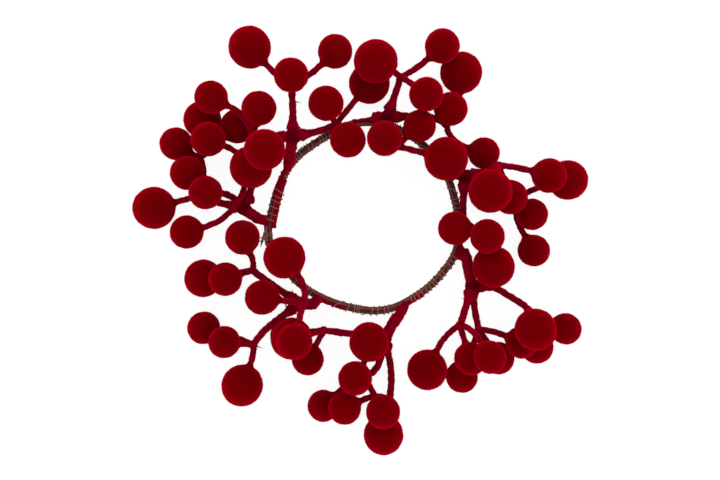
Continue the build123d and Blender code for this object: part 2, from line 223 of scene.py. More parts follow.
# %% The five finishes
# Each has three colours, the scales and shares of its patches and specks, and the scale,
# height and strength of its fuzz.
flock_sockets = {
    "Roughness": 1.0,
    "Specular IOR Level": 0.0,
    "Sheen Weight": 1.0,
    "Sheen Roughness": 0.5,
    "Sheen Tint": (1.0, 0.0, 0.025, 1),
}
berry_flock = finish_of(
    "berry_flock",
    colours=[(0.13, 0.0, 0.001), (0.1, 0.0, 0.0008), (0.24, 0.0, 0.004)],
    scales=(260, 2600),
    shares=(0.6, 0.45),
    fuzz=(2400, 0.25 * mm, 0.7),
    sockets=flock_sockets,
)
stem_flock = finish_of(
    "stem_flock",
    colours=[(0.21, 0.0, 0.01), (0.1, 0.0, 0.005), (0.34, 0.0, 0.025)],
    scales=(300, 2300),
    shares=(0.7, 0.4),
    fuzz=(1800, 0.3 * mm, 0.8),
    sockets=flock_sockets,
)
wound_paper = finish_of(
    "wound_paper",
    colours=[(0.14, 0.034, 0.026), (0.07, 0.015, 0.011), (0.26, 0.09, 0.068)],
    scales=(400, 3000),
    shares=(0.7, 0.6),
    fuzz=(2500, 0.1 * mm, 0.5),
    sockets={"Roughness": 0.85, "Specular IOR Level": 0.25},
)
lacquered_wire = finish_of(
    "lacquered_wire",
    colours=[(0.3, 0.11, 0.08), (0.17, 0.05, 0.035), (0.48, 0.25, 0.19)],
    scales=(500, 1500),
    shares=(0.6, 0.5),
    fuzz=(900, 0.02 * mm, 0.3),
    sockets={"Roughness": 0.38, "Metallic": 0.35},
)
bare_steel = finish_of(
    "bare_steel",
    colours=[(0.35, 0.33, 0.31), (0.2, 0.17, 0.15), (0.12, 0.07, 0.05)],
    scales=(600, 1800),
    shares=(0.5, 0.4),
    fuzz=(1200, 0.01 * mm, 0.2),
    sockets={"Roughness": 0.35, "Metallic": 1.0},
)
# Painted shade: the paper is darker along the step where each turn laps over the next.
shade_between(wound_paper, "lap", (0.03, 0.01, 0.007), low=0.86, high=1.0)
# Painted shade: the flocked stem is darker round a trunk's head, in the hollow where the arms
# meet.
shade_between(stem_flock, "knuckle_shade_and_lumps", (0.05, 0.0, 0.003), low=0.1, high=0.9)
print("finishes", len(bpy.data.materials))

# %% [markdown]
# ## Reading places from the model
# A CAD node's mesh is loose triangles, so its corners are merged into one list first. The
# first thing to read from such lists is where each bead is, how large it is, and which way
# its neck points: a ball is fitted to its corners, and what stands off the ball is the neck.


# %% Beads and their necks
merge_digits = 7
fitting_rounds = 12
ball_slack = 0.05 * mm
share_on_ball = 0.6
neck_stands_off = 0.3 * mm


def points_of(mesh):
    """The points of a mesh as rows."""
    points = np.zeros(len(mesh.vertices) * 3)
    mesh.vertices.foreach_get("co", points)
    return points.reshape(-1, 3)


def corners_of(node):
    """Merged corners of a node, and its triangles as rows of three corner numbers."""
    mesh = nodes[node].data
    mesh.calc_loop_triangles()
    triangles = np.zeros(len(mesh.loop_triangles) * 3, int)
    mesh.loop_triangles.foreach_get("vertices", triangles)
    rounded = np.round(points_of(mesh), merge_digits)
    merged, index = np.unique(rounded, axis=0, return_inverse=True)
    return merged, index.reshape(-1)[triangles].reshape(-1, 3)


def loose_parts(points, triangles):
    """The corner numbers of each loose part of a mesh."""
    label = np.arange(len(points))
    while True:
        before = label.copy()
        least = label[triangles].min(axis=1)
        for column in range(3):
            np.minimum.at(label, triangles[:, column], least)
        label = label[label]
        if (label == before).all():
            return [np.flatnonzero(label == value) for value in np.unique(label)]


def ball_through(points):
    """Centre and radius of the ball that fits the points best."""
    rows = np.c_[2 * points, np.ones(len(points))]
    answer = np.linalg.lstsq(rows, (points**2).sum(1), rcond=None)[0]
    return answer[:3], math.sqrt(answer[3] + answer[:3] @ answer[:3])


def read_beads(node):
    """Centre, radius and neck direction of every bead in a node."""
    points, triangles = corners_of(node)
    beads = []
    for part in loose_parts(points, triangles):
        own = points[part]
        centre, radius = ball_through(own)
        for step in range(fitting_rounds):
            away = np.abs(np.linalg.norm(own - centre, axis=1) - radius)
            near = away < max(ball_slack, np.quantile(away, share_on_ball))
            centre, radius = ball_through(own[near])
        away = np.linalg.norm(own - centre, axis=1) - radius
        neck = own[away > neck_stands_off].mean(0) - centre
        beads.append((centre, radius, neck / np.linalg.norm(neck)))
    return beads


beads_of = {}
for sprig in sprigs:
    for kind in ("large", "small"):
        name = f"sprig_{sprig}_{kind}_berries"
        beads_of[name] = read_beads(name)
print("beads", sum(len(row) for row in beads_of.values()))

# %% [markdown]
# ## The lines of the hoop
# Half planes through the ring's upright axis cut a strand into small rings, whose middles
# are points on its line. The windings and the feet of the trunks need the bundle's middle.


# %% Line of a hoop strand
def loop_line(node, count=240):
    """Points on the middle line of a strand, where half planes through the hoop's axis cut it."""
    points, triangles = corners_of(node)
    edges = np.r_[triangles[:, :2], triangles[:, 1:], triangles[:, ::2]]
    found = []
    for step in range(count):
        bearing = 2 * math.pi * step / count
        cos, sin = math.cos(bearing), math.sin(bearing)
        across = points[:, 1] * cos - points[:, 0] * sin
        out = points[:, 0] * cos + points[:, 1] * sin
        low, high = across[edges[:, 0]], across[edges[:, 1]]
        cut = edges[(low * high < 0) & (out[edges[:, 0]] > 0)]
        if not len(cut):
            continue
        start, end = cut.T
        share = across[start] / (across[start] - across[end])
        crossing = points[start] + (points[end] - points[start]) * share[:, None]
        reach = np.linalg.norm(crossing[:, :2], axis=1)
        middle = (reach.min() + reach.max()) / 2
        height = (crossing[:, 2].min() + crossing[:, 2].max()) / 2
        found.append((middle * cos, middle * sin, height))
    return np.array(found)


strand_lines = {number: loop_line(f"hoop_paper_{number}") for number in strands}
print("strand points", [len(line) for line in strand_lines.values()])


def polar_of(line):
    """Bearing, distance and height of a line's points, in order of bearing."""
    bearing = np.arctan2(line[:, 1], line[:, 0]) % (2 * math.pi)
    order = np.argsort(bearing)
    return bearing[order], np.hypot(line[:, 0], line[:, 1])[order], line[order, 2]


def bundle_middle(bearings):
    """Points midway between two strands that lie corner to corner in the bundle."""
    places = []
    for number in (1, 3):
        own, far, height = polar_of(strand_lines[number])
        far = np.interp(bearings, own, far, period=2 * math.pi)
        height = np.interp(bearings, own, height, period=2 * math.pi)
        places.append(np.c_[far * np.cos(bearings), far * np.sin(bearings), height])
    return (places[0] + places[1]) / 2


def outward_of(places):
    """Directions that point straight out from the middle of the ring."""
    out = places * (1, 1, 0)
    return out / np.linalg.norm(out, axis=1)[:, None]


# %% [markdown]
# ## The sockets and the heads
# An arm is pushed on a pin of its trunk, so its corners next to the trunk make a ring that
# gives the socket's mouth and direction. A step back from three mouths leads to the head.


# %% Mouth of an arm's socket
def tree_of(points):
    """A search tree of points."""
    tree = kdtree.KDTree(len(points))
    for number, point in enumerate(points):
        tree.insert(point, number)
    tree.balance()
    return tree


near_pin = 0.42 * mm


def socket_mouth(arm_points, trunk_tree):
    """Middle and direction of the socket, from the ring of corners that sits round the pin."""
    ring = np.array([p for p in arm_points if trunk_tree.find(p)[2] < near_pin])
    middle = ring.mean(0)
    axis = np.linalg.svd(ring - middle)[2][2]
    if (arm_points.mean(0) - middle) @ axis < 0:
        axis = -axis
    return middle, axis


mouths = {}
for sprig in sprigs:
    trunk_tree = tree_of(corners_of(f"sprig_{sprig}_trunk")[0])
    for arm in arms:
        arm_points = corners_of(f"sprig_{sprig}_arm_{arm}")[0]
        mouths[sprig, arm] = socket_mouth(arm_points, trunk_tree)
collar_reach = 4.5 * mm
heads = {}
for sprig in sprigs:
    guesses = [mouths[sprig, arm][0] - mouths[sprig, arm][1] * collar_reach for arm in arms]
    heads[sprig] = np.median(guesses, axis=0)
    spread = max(np.linalg.norm(guess - heads[sprig]) for guess in guesses)
    print("sprig", sprig, "head", np.round(heads[sprig] / mm, 2), "spread", round(spread / mm, 2))

# %% [markdown]
# ## Bending a few wires
# The stems are wire, so on the real ring some of them run a little differently from the
# model. The part of an arm that follows an old line is carried over to a new one: each point
# keeps its place beside the line, so the stem keeps its thickness. A twig is bent by turning
# its berry's neck about the upright axis, and two stalks are bowed out to the side.


# %% Helpers that carry a stem from one line to another
def smooth_step(values, low, high):
    """Runs smoothly from 0 at low to 1 at high."""
    share = np.clip((values - low) / (high - low), 0, 1)
    return share * share * (3 - 2 * share)


straight_enough = 0.01 * mm


def arc_between(start, direction, end, count=48):
    """Points on the arc that leaves start in a direction and ends at end."""
    span = end - start
    ahead = span @ direction
    side = span - ahead * direction
    sideways = np.linalg.norm(side)
    steps = np.linspace(0, 1, count)[:, None]
    if sideways < straight_enough:
        return start + steps * span
    radius = (ahead**2 + sideways**2) / (2 * sideways)
    angle = 2 * math.atan2(sideways, ahead) * steps
    outward = side / sideways
    return start + np.sin(angle) * radius * direction + (1 - np.cos(angle)) * radius * outward


def frames_on(line):
    """Direction, side and upper side at each point of a line."""
    along = np.gradient(line, axis=0)
    along /= np.linalg.norm(along, axis=1)[:, None]
    side = np.cross((0, 0, 1), along)
    side /= np.linalg.norm(side, axis=1)[:, None]
    return along, side, np.cross(along, side)


# A carried stem stays as it is near the start of its line, and moves in full further on.
held_until, free_from = 0.8 * mm, 2.2 * mm


def carry(points, old, new, reach):
    """Moves the points within reach of an old line to the same places beside a new one."""
    gaps = np.linalg.norm(points[:, None] - old[None], axis=2)
    nearest = gaps.argmin(1)
    offset = points - old[nearest]
    moved = new[nearest]
    for was, now in zip(frames_on(old), frames_on(new)):
        moved = moved + (offset * was[nearest]).sum(1)[:, None] * now[nearest]
    from_start = np.linalg.norm(old[nearest] - old[0], axis=1)
    share = smooth_step(from_start, held_until, free_from) * (gaps.min(1) < reach)
    return points + (moved - points) * share[:, None]


def turned_about_up(direction, degrees):
    """A direction turned about the upright axis."""
    cos, sin = math.cos(math.radians(degrees)), math.sin(math.radians(degrees))
    right, back, rise = direction
    return np.array([right * cos - back * sin, right * sin + back * cos, rise])


# %% Where an arm forks
fork_radius = 1.9 * mm
fork_slacks = (0.6 * mm, 0.4 * mm, 0.2 * mm, 0.2 * mm)


def fork_of(sprig, arm, guess):
    """The middle of the ball where an arm forks, found from a guess in whole millimetres."""
    points = corners_of(f"sprig_{sprig}_arm_{arm}")[0]
    centre = np.array(guess) * mm
    for slack in fork_slacks:
        off = np.abs(np.linalg.norm(points - centre, axis=1) - fork_radius)
        centre = ball_through(points[off < slack])[0]
    return centre


# %% The twigs and the stalks that are bent
# Sprig, arm, kind of berry, the places of the berry and of the fork in mm, both as guesses
# that the model mends, and the turn of the neck in degrees.
bent_twigs = [
    (1, 1, "large", (-53, 77), (-34, 61, 18), 22),
    (1, 1, "small", (-13, 76), (-34, 61, 18), -18),
    (2, 1, "large", (-100, 3), (-77, 11, 10), 17),
    (2, 2, "small", (-72, 35), (-59, 25, 5), 16),
    (3, 1, "small", (-57, -11), (-53, -27, 11), -16),
    (3, 2, "large", (-58, -81), (-53, -62, 11), 18),
    (4, 3, "small", (-9, -91), (13, -89, 8), 38),
    (5, 1, "large", (30, -74), (46, -53, 10), -16),
    (7, 2, "small", (58, 30), (40, 44, 8), 20),
]
neck_and_seat = 1.7 * mm
wire_step = 0.2 * mm
wire_in_berry = 5.4 * mm
wire_points = 8
new_lines = {(sprig, arm): [] for sprig in sprigs for arm in arms}
for sprig, arm, kind, place, guess, turn in bent_twigs:
    beads = beads_of[f"sprig_{sprig}_{kind}_berries"]
    far = [np.hypot(*(centre[:2] - np.array(place) * mm)) for centre, radius, neck in beads]
    number = int(np.argmin(far))
    centre, radius, neck = beads[number]
    fork = fork_of(sprig, arm, guess)
    print("fork", sprig, arm, np.round(fork / mm, 1), "berry off by", round(far[number] / mm, 1))
    lines = []
    for axis in (neck, turned_about_up(neck, turn)):
        end = centre + axis * (radius + neck_and_seat)
        twig = arc_between(end, axis, fork)[::-1]
        wire = end - axis * np.linspace(wire_step, wire_in_berry, wire_points)[:, None]
        lines.append(np.r_[twig, wire])
    new_lines[sprig, arm].append(lines)
    beads[number] = (centre, radius, turned_about_up(neck, turn))
# Sprig, arm, a guess at the fork's place, and how far the stalk is bowed out to the right in mm.
bent_stalks = [
    (2, 3, (-80, 27, 5), -5.5),
    (5, 3, (78, -45, 12), 1.3),
]
socket_length = 6 * mm
for sprig, arm, guess, bow in bent_stalks:
    mouth, axis = mouths[sprig, arm]
    stalk_start = mouth + axis * socket_length
    fork = fork_of(sprig, arm, guess)
    old_stalk = arc_between(stalk_start, axis, fork)
    to_the_right = np.cross(fork - stalk_start, (0, 0, 1))
    to_the_right /= np.linalg.norm(to_the_right)
    bulge = np.sin(np.linspace(0, math.pi, len(old_stalk))) ** 2 * bow * mm
    new_lines[sprig, arm].append([old_stalk, old_stalk + bulge[:, None] * to_the_right])
    print("stalk", sprig, arm, "to fork", np.round(fork / mm, 1))
print("bent", sum(len(lines) for lines in new_lines.values()))

# %% [markdown]
# ## One way to run a Geometry Nodes tree
# A tree is put on an object as a modifier. Its inputs are set by the sockets' identifiers,
# before the object is first evaluated. Then the result is taken as a plain mesh, and the
# helper object is thrown away. The steps that several trees share are written only once.


# %% Run a tree on a mesh
def finished_mesh(carrier):
    """The mesh that an object's modifiers make. The object is thrown away."""
    graph = bpy.context.evaluated_depsgraph_get()
    mesh = bpy.data.meshes.new_from_object(carrier.evaluated_get(graph))
    bpy.data.objects.remove(carrier)
    return mesh


def grow(name, mesh, tree, inputs, slot, replaced):
    """Runs a tree on a mesh, and keeps the result as a piece in place of a CAD node."""
    carrier = new_object(name + "_carrier", mesh)
    modifier = carrier.modifiers.new("grow", "NODES")
    modifier.node_group = tree
    for item in tree.interface.items_tree:
        if item.in_out == "INPUT" and item.name in inputs:
            modifier[item.identifier] = inputs[item.name]
    grown = finished_mesh(carrier)
    grown.name = name
    keep(name, grown, slot, replaced)


def keep(name, mesh, slot, *replaced):
    """Makes a finished mesh a piece of the object, which rides on the root body."""
    piece = new_object(name, mesh)
    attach(piece, "root")
    if replaced:
        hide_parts(*replaced)
    print(name, len(mesh.polygons))


def mark(mesh, label, values):
    """Stores a number or a vector for each point of a mesh."""
    values = np.array(values, np.float32)
    kind, key = ("FLOAT", "value") if values.ndim == 1 else ("FLOAT_VECTOR", "vector")
    mesh.attributes.new(label, kind, "POINT").data.foreach_set(key, values.ravel())


def mesh_of(name, points, edges=(), faces=(), marks=None):
    """A mesh whose points may carry marks of their own."""
    mesh = bpy.data.meshes.new(name)
    mesh.from_pydata([tuple(p) for p in points], list(edges), list(faces))
    for label, values in (marks or {}).items():
        mark(mesh, label, values)
    return mesh


def line_through(name, points):
    """A mesh that is one line through the points."""
    return mesh_of(name, points, edges=[(i, i + 1) for i in range(len(points) - 1)])


# %% Steps that the trees share
def open_growth(name, *labels, counts=()):
    """A tree that takes geometry, numbers, counts and a material, and gives geometry."""
    shape = sockets_of("Geometry", "Geometry")
    numbers = sockets_of("Float", *labels) + sockets_of("Int", *counts)
    inputs = shape + numbers + sockets_of("Material", "Material")
    return open_tree(name, "GeometryNodeTree", inputs, shape)


def marked(tree, label, settings=None):
    """Reads what the mesh itself carries at each point."""
    return put(tree, "GeometryNodeInputNamedAttribute", settings, Name=label)[0]


def moved(tree, shape, **how):
    """Geometry with its points at another position or off by an offset."""
    return put(tree, "GeometryNodeSetPosition", Geometry=shape, **how)[0]


def lumps(tree, scale, detail, level, height):
    """A soft noise over the piece, as a height over or under its usual level."""
    at = put(tree, "GeometryNodeInputPosition")[0]
    over = reckon(tree, "SUBTRACT", noise(tree, at, scale, detail), level)
    return reckon(tree, "MULTIPLY", over, height)


def pushed_out(tree, shape, amount):
    """Geometry with its points moved along their normals."""
    normal = put(tree, "GeometryNodeInputNormal")[0]
    return moved(tree, shape, Offset=steer(tree, "SCALE", normal, amount))


def placed_on(tree, points, shape, turned, size=(1, 1, 1)):
    """A shape on each point, turned and scaled."""
    sockets = {"Points": points, "Instance": shape, "Rotation": turned, "Scale": size}
    return put(tree, "GeometryNodeInstanceOnPoints", **sockets)[0]


def together(tree, *parts):
    """Joins geometry."""
    joined = tree.nodes.new("GeometryNodeJoinGeometry")
    for part in parts:
        tree.links.new(part, joined.inputs[0])
    return joined.outputs[0]


def dress(tree, geometry, material, result):
    """Ends a tree: real mesh instead of instances, smooth faces, and the material."""
    real = put(tree, "GeometryNodeRealizeInstances", Geometry=geometry)
    smooth = put(tree, "GeometryNodeSetShadeSmooth", Geometry=real[0])
    done = put(tree, "GeometryNodeSetMaterial", Geometry=smooth[0], Material=material)
    tree.links.new(done[0], result[0])


# %% [markdown]
# ## Fibres
# Under a lens the flock is a lawn of tiny fibres, far too many to place by hand. So points
# are scattered over the skin, and a three-sided spike stands on each and leans a little at
# random. The berries and the stems share this branch.


# %% The branch that plants fibres
lean_most = 0.7
least_fibre, most_fibre = 0.5, 1.1


def coat_inputs(*kinds):
    """The names of the inputs that give the size and number of each kind of fibre."""
    return [kind + what for kind in kinds for what in (" Length", " Width", "s per m2")]


def planted(tree, given, skin, kind, seed):
    """Fibres of one kind that stand on a skin, as instances."""
    how_many = {"Density": given[kind + "s per m2"], "Seed": seed}
    scatter = put(tree, "GeometryNodeDistributePointsOnFaces", Mesh=skin, **how_many)
    sizes = {"Radius_Bottom": given[kind + " Width"], "Depth": given[kind + " Length"]}
    three_sided = {"Vertices": 3, "Radius_Top": 0.0, **sizes}
    spike = put(tree, "GeometryNodeMeshCone", {"fill_type": "NONE"}, **three_sided)["Mesh"]
    ends = {"Min": [-lean_most] * 3, "Max": [lean_most] * 3, "Seed": seed}
    lean = put(tree, "FunctionNodeRandomValue", {"data_type": "FLOAT_VECTOR"}, **ends)[0]
    leaning = steer(tree, "ADD", scatter["Normal"], lean)
    turned = put(tree, "FunctionNodeAlignRotationToVector", Vector=leaning)[0]
    size = put(tree, "FunctionNodeRandomValue", i2=least_fibre, i3=most_fibre, Seed=seed + 1)
    return placed_on(tree, scatter["Points"], spike, turned, size[1])


# %% [markdown]
# ## Berries
# A berry is a foam bead dipped in glue and flock, with a short neck where its wire goes in.
# All beads follow one rule, so one tree makes them: a unit bead and a neck are placed on a
# point for each berry, with the radius and the direction that the model gives, and then the
# skin is made a little uneven. The plain CAD balls are hidden behind them.


# %% The tree for flocked berries
neck_sunk = 0.55 * mm
neck_curve = 2.2
berry_seed = 3


def make_neck(tree, given):
    """A short pipe whose foot is wide and whose sides curve in."""
    sizes = {"Vertices": 18, "Side_Segments": 6, "Radius": 1.0, "Depth": 1.0}
    pipe = put(tree, "GeometryNodeMeshCylinder", {"fill_type": "NONE"}, **sizes)[0]
    at = put(tree, "GeometryNodeInputPosition")[0]
    parts = put(tree, "ShaderNodeSeparateXYZ", Vector=at)
    rise = reckon(tree, "ADD", parts[2], 0.5)
    curve_in = reckon(tree, "POWER", reckon(tree, "SUBTRACT", 1.0, rise), neck_curve)
    ends = {"To_Min": given["Neck Top"], "To_Max": given["Neck Foot"]}
    width = put(tree, "ShaderNodeMapRange", Value=curve_in, **ends)[0]
    side = reckon(tree, "MULTIPLY", parts[0], width)
    back = reckon(tree, "MULTIPLY", parts[1], width)
    tall = reckon(tree, "MULTIPLY", rise, given["Neck Height"])
    place = put(tree, "ShaderNodeCombineXYZ", X=side, Y=back, Z=tall)[0]
    return moved(tree, pipe, Position=place)


def make_berry_tree():
    """Points with a radius and a neck direction become flocked berries."""
    labels = ("Neck Height", "Neck Foot", "Neck Top", "Lump Size", "Lump Height")
    tree, given, result = open_growth("flocked_berries", *labels, *coat_inputs("Fibre"))
    radius = marked(tree, "bead_radius")
    axis = marked(tree, "neck_axis", {"data_type": "FLOAT_VECTOR"})
    turned = put(tree, "FunctionNodeAlignRotationToVector", Vector=axis)[0]
    bead = put(tree, "GeometryNodeMeshIcoSphere", Radius=1.0, Subdivisions=5)[0]
    beads = placed_on(tree, given["Geometry"], bead, turned, radius)
    foot = steer(tree, "SCALE", axis, reckon(tree, "SUBTRACT", radius, neck_sunk))
    feet = moved(tree, given["Geometry"], Offset=foot)
    necks = placed_on(tree, feet, make_neck(tree, given), turned)
    both = together(tree, beads, necks)
    skin = put(tree, "GeometryNodeRealizeInstances", Geometry=both)[0]
    swell = lumps(tree, given["Lump Size"], detail=2.0, level=0.5, height=given["Lump Height"])
    uneven = pushed_out(tree, skin, swell)
    fibres = planted(tree, given, uneven, "Fibre", berry_seed)
    dress(tree, together(tree, uneven, fibres), given["Material"], result)
    return tree


# %% The berries
berry_tree = make_berry_tree()
flock_thickness = 0.1 * mm
berry_sizes = {
    "Neck Height": 2.3 * mm,
    "Neck Foot": 3.0 * mm,
    "Neck Top": 1.45 * mm,
    "Lump Size": 330.0,
    "Lump Height": 0.6 * mm,
    "Fibre Length": 0.55 * mm,
    "Fibre Width": 0.05 * mm,
    "Fibres per m2": 1.1e6,
    "Material": berry_flock,
}
for name, beads in beads_of.items():
    centres, radii, necks = (np.array(column) for column in zip(*beads))
    marks = {"bead_radius": radii + flock_thickness, "neck_axis": necks}
    seeds = mesh_of(name + "_seeds", centres, marks=marks)
    grow(name + "_flocked", seeds, berry_tree, berry_sizes, "flocked_berry", name)

# %% [markdown]
# ## Stems
# A trunk or arm is wire wrapped in floral tape and then flocked, so it is lumpy and soft at
# the joins. A copy of the CAD mesh is remeshed into small even squares, which rounds the
# joins, and noise makes the lumps. The same tree then plants short fibres, a few long strays
# and a few thick barbs of stuck flock.


# %% Remesh a stem
stem_reach = 1.85 * mm


def rod(line, radii, sides=14):
    """Points and triangles of a closed round rod along a line."""
    line = np.array(line)
    along, side, upper = frames_on(line)
    turns = np.linspace(0, 2 * math.pi, sides, endpoint=False)
    sideways = np.cos(turns)[:, None] * side[:, None]
    upward = np.sin(turns)[:, None] * upper[:, None]
    rings = line[:, None] + (sideways + upward) * np.array(radii)[:, None, None]
    points = np.r_[rings.reshape(-1, 3), line[:1], line[-1:]]
    faces = []
    last = (len(line) - 1) * sides
    for i in range(sides):
        j = (i + 1) % sides
        for start in range(0, last, sides):
            faces.append((start + i, start + j, start + sides + j))
            faces.append((start + i, start + sides + j, start + sides + i))
        faces.append((len(points) - 2, j, i))
        faces.append((len(points) - 1, last + i, last + j))
    return points, np.array(faces)


def remeshed(name, voxel, lines=(), rods=()):
    """A merged, evenly remeshed copy of a CAD node's mesh, with stems carried and rods added."""
    points, triangles = corners_of(name)
    for old, new in lines:
        points = carry(points, old, new, stem_reach)
    for more, faces in rods:
        triangles = np.r_[triangles, faces + len(points)]
        points = np.r_[points, more]
    carrier = new_object("carrier", mesh_of("carrier", points, faces=triangles.tolist()))
    remesh = carrier.modifiers.new("remesh", "REMESH")
    remesh.mode = "VOXEL"
    remesh.voxel_size = voxel
    soften = carrier.modifiers.new("soften", "SMOOTH")
    soften.factor = 0.5
    soften.iterations = 3
    return finished_mesh(carrier)


# %% The tree for flocked stems
stem_level = 0.42
# Each kind of fibre on a stem, and the seed of its random draws.
stem_coat = {"Fibre": 5, "Stray": 11, "Barb": 17}


def make_stem_tree():
    """Makes lumps on a remeshed stem, and plants fibres, strays and barbs on it."""
    labels = ("Lump Scale", "Lump Height", "Knuckle Lumps")
    tree, given, result = open_growth("flocked_stems", *labels, *coat_inputs(*stem_coat))
    swell = lumps(tree, given["Lump Scale"], 3.0, stem_level, given["Lump Height"])
    rougher = reckon(tree, "MULTIPLY_ADD", marked(tree, "knuckle_shade_and_lumps"), given["Knuckle Lumps"], 1.0)
    skin = pushed_out(tree, given["Geometry"], reckon(tree, "MULTIPLY", swell, rougher))
    coat = [planted(tree, given, skin, kind, seed) for kind, seed in stem_coat.items()]
    dress(tree, together(tree, skin, *coat), given["Material"], result)
    return tree


stem_tree = make_stem_tree()
stem_sizes = {
    "Lump Scale": 420.0,
    "Lump Height": 1.1 * mm,
    "Knuckle Lumps": 1.4,
    "Fibre Length": 0.6 * mm,
    "Fibre Width": 0.05 * mm,
    "Fibres per m2": 1.3e6,
    "Stray Length": 2.6 * mm,
    "Stray Width": 0.09 * mm,
    "Strays per m2": 1.4e4,
    "Barb Length": 4.2 * mm,
    "Barb Width": 0.5 * mm,
    "Barbs per m2": 4.0e3,
    "Material": stem_flock,
}


# %% [markdown]
# ## Bells, collars and sleeves
# Flock gathers at a joint. The foot of each arm is drawn out into a bell round its pin, the
# collars between bells and head are thickened, and a trunk gets a sleeve where it leaves the
# bundle. Each joint has its own direction, so these are vertex moves and added rods.


# %% Bells and collars
# How much wider a bell's rim is, how far the bell reaches up the arm, and how far its rim is
# drawn back over the collar.
bell_swell, bell_length, bell_back = 0.5, 4.6 * mm, 0.9 * mm
bell_behind, bell_reach = 0.6 * mm, 2.9 * mm
# The bore stays as it is: points move in full only past the second of two distances.
bell_skin, rim_skin = (1.1 * mm, 1.7 * mm), (1.5 * mm, 2.0 * mm)
flare_power = 1.6
collar_swell, collar_front, collar_round = 0.3, 0.4 * mm, 2.5 * mm
collar_start, collar_skin = (-3.0 * mm, -1.4 * mm), (1.1 * mm, 1.6 * mm)


def around(points, mouth, axis):
    """How far points lie along an axis and from it, and the way out from it."""
    along = (points - mouth) @ axis
    off = points - mouth - along[:, None] * axis
    return along, np.linalg.norm(off, axis=1), off


def bell(points, mouth, axis):
    """Widens the foot of an arm into a bell round its pin, with its rim over the collar."""
    along, far, off = around(points, mouth, axis)
    inside = (along > -bell_behind) & (along < bell_length) & (far < bell_reach)
    flare = (1 - smooth_step(along, 0, bell_length)) ** flare_power
    wider = bell_swell * flare * smooth_step(far, *bell_skin)
    lower = bell_back * flare**3 * smooth_step(far, *rim_skin)
    grown = points + off * wider[:, None] - axis * lower[:, None]
    return np.where(inside[:, None], grown, points)


def collar(points, mouth, axis):
    """Thickens the short collar between a trunk's head and the mouth of an arm."""
    along, far, off = around(points, mouth, axis)
    share = smooth_step(along, *collar_start) * smooth_step(far, *collar_skin)
    inside = (along < collar_front) & (far < collar_round)
    grown = points + off * (collar_swell * share)[:, None]
    return np.where(inside[:, None], grown, points)


def mark_knuckle(mesh, points, head, full_at, none_at, most):
    """Marks the points near a trunk's head, where the stem gets painted shade and rougher lumps.
    """
    from_head = np.linalg.norm(points - head, axis=1)
    mark(mesh, "knuckle_shade_and_lumps", smooth_step(-from_head, -none_at, -full_at) * most)


def set_points(mesh, points):
    """Writes moved points back."""
    mesh.vertices.foreach_set("co", points.ravel())
    mesh.update()


# %% Sleeves, and the long tail of the first sprig
# Where each trunk bends up from the bundle: right, back and up from the middle of the ring,
# a guess in whole millimetres that the trunk's own corners mend.
bend_places = {
    1: (-35, 26, 17),
    2: (-51, -2, 13),
    3: (-25, -43, 14),
    4: (15, -51, 12),
    5: (49, -21, 13),
    6: (44, 19, 15),
    7: (7, 46, 16),
}
bend_reach = 2.8 * mm
# How many degrees further round the ring a sleeve's foot lies than the place of the bend.
foot_shifts = {4: 9}
foot_lift = 0.6 * mm
share_into_trunk = 0.3
sleeve_radius, sleeve_end_radius = 2.45 * mm, 2.0 * mm
long_tail_radius = 1.2 * mm
long_tail_bearings = (156, 188.5)
long_tail_points = 24
long_tail_inward = 1.4 * mm
long_tail_slant = 1.4 * mm
long_tail_lift = 1.9 * mm


def sleeve(sprig):
    """Flock that fills the corner between a trunk and the bundle."""
    guess = np.array(bend_places[sprig]) * mm
    points = corners_of(f"sprig_{sprig}_trunk")[0]
    near = points[np.linalg.norm(points - guess, axis=1) < bend_reach]
    bend = (near.min(0) + near.max(0)) / 2
    print("bend", sprig, np.round(bend / mm, 1))
    # One middle of the bundle for each degree, so a place in this list is a bearing.
    middles = bundle_middle(np.radians(np.arange(0, 360, 1.0)))
    nearest = np.linalg.norm(middles - bend, axis=1).argmin() + foot_shifts.get(sprig, 0)
    foot = middles[nearest] + (0, 0, foot_lift)
    top = bend + (heads[sprig] - bend) * share_into_trunk
    line = [foot, foot * 0.5 + bend * 0.5, bend, top]
    return rod(line, [sleeve_end_radius, sleeve_radius, sleeve_radius, sleeve_end_radius])


def long_tail():
    """The flocked tail of the first sprig, which lies bound on top of the bundle."""
    line = bundle_middle(np.radians(np.linspace(*long_tail_bearings, long_tail_points)))
    share = np.linspace(0, 1, len(line))[:, None]
    inward = long_tail_inward + share * long_tail_slant
    line = line - outward_of(line) * inward + (0, 0, long_tail_lift)
    return rod(line, [long_tail_radius] * len(line))


# %% The trunks and the arms
stem_voxel = 0.36 * mm
for sprig in sprigs:
    head = heads[sprig]
    name = f"sprig_{sprig}_trunk"
    rods = [sleeve(sprig)] + ([long_tail()] if sprig == 1 else [])
    mesh = remeshed(name, stem_voxel, rods=rods)
    points = points_of(mesh)
    for arm in arms:
        points = collar(points, *mouths[sprig, arm])
    set_points(mesh, points)
    mark_knuckle(mesh, points, head, full_at=3.0 * mm, none_at=4.6 * mm, most=0.8)
    grow(name + "_flocked", mesh, stem_tree, stem_sizes, "flocked_stem", name)
    for arm in arms:
        name = f"sprig_{sprig}_arm_{arm}"
        mesh = remeshed(name, stem_voxel, new_lines[sprig, arm])
        points = points_of(mesh)
        set_points(mesh, bell(points, *mouths[sprig, arm]))
        mark_knuckle(mesh, points, head, full_at=4.0 * mm, none_at=5.2 * mm, most=0.5)
        grow(name + "_flocked", mesh, stem_tree, stem_sizes, "flocked_stem", name)

# %% [markdown]
# ## Paper strands
# Each hoop strand is a wire in a strip of brown paper, wound on at a slant, so that each turn
# laps over the one before. A tree sweeps a tube along the strand's line and raises the
# paper a little more towards each lap.


# %% The tree for a wound strand
crease_scale, crease_height = 900.0, 1.2


